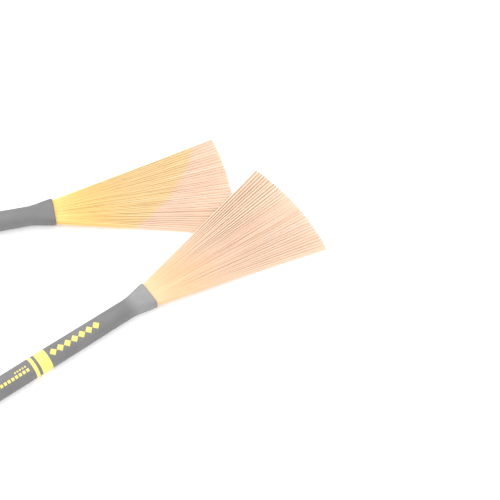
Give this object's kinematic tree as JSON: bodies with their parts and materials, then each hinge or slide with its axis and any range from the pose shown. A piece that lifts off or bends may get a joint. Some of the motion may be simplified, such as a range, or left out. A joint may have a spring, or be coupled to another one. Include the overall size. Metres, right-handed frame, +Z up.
{
  "type": "drum brush pair",
  "caption": "Pair of fan drum brushes: round soft-touch stick grips that flare into flat mouths, with spreading fans of springy plastic filaments, one laid across the other.",
  "frame": {"origin": "centre of the base of the whole pair's bounding box, on the surface that both brushes lie on", "axes": "+X is the long way of the pair, towards the fans; +Y is across, from brush B towards brush A; +Z is up from the surface"},
  "size_m": [0.3962, 0.2581, 0.0152],
  "materials": {
    "grip_rubber": "soft-touch satin",
    "core_wood": "raw dowel",
    "cap_plastic": "matt",
    "band_yellow": "printed satin",
    "root_resin": "cast",
    "filaments_a": "drawn nylon, satin",
    "filaments_b": "drawn nylon, satin"
  },
  "bodies": {
    "handle_a": {"grip_a": "grip_rubber", "core_rod_a": "core_wood", "butt_cap_a": "cap_plastic", "wide_band_a": "band_yellow", "narrow_band_a": "band_yellow", "root_block_a": "root_resin"},
    "fan_a": {"layer_1_a": "filaments_a", "layer_2_a": "filaments_a", "layer_3_a": "filaments_a", "layer_4_a": "filaments_a", "layer_5_a": "filaments_a", "layer_6_a": "filaments_a"},
    "handle_b": {"grip_b": "grip_rubber", "core_rod_b": "core_wood", "butt_cap_b": "cap_plastic", "wide_band_b": "band_yellow", "narrow_band_b": "band_yellow", "root_block_b": "root_resin"},
    "fan_b": {"layer_1_b": "filaments_b", "layer_2_b": "filaments_b", "layer_3_b": "filaments_b", "layer_4_b": "filaments_b", "layer_5_b": "filaments_b", "layer_6_b": "filaments_b"}
  },
  "joints": [
    {"name": "fan_a_bend", "type": "hinge", "parent": "fan_a", "child": "handle_a", "pos_m": [0, 0.0635, 0.00762], "axis": [-0.2011, 0.9796, 0], "range_deg": [0, 25], "stiffness_Nm_per_rad": 0.08, "springref_deg": -3.44, "deforming": ["layer_1_a", "layer_2_a", "layer_3_a", "layer_4_a", "layer_5_a", "layer_6_a"]},
    {"name": "brush_b_lift", "type": "slide", "parent": "fan_a", "child": "fan_b", "axis": [0, 0, 1], "range_m": [0, 0.12]},
    {"name": "fan_b_bend", "type": "hinge", "parent": "fan_b", "child": "handle_b", "pos_m": [0.0714, -0.0059, 0.00762], "axis": [-0.5864, 0.81, 0], "range_deg": [0, 25], "stiffness_Nm_per_rad": 0.08, "springref_deg": -3.44, "deforming": ["layer_1_b", "layer_2_b", "layer_3_b", "layer_4_b", "layer_5_b", "layer_6_b"]}
  ]
}
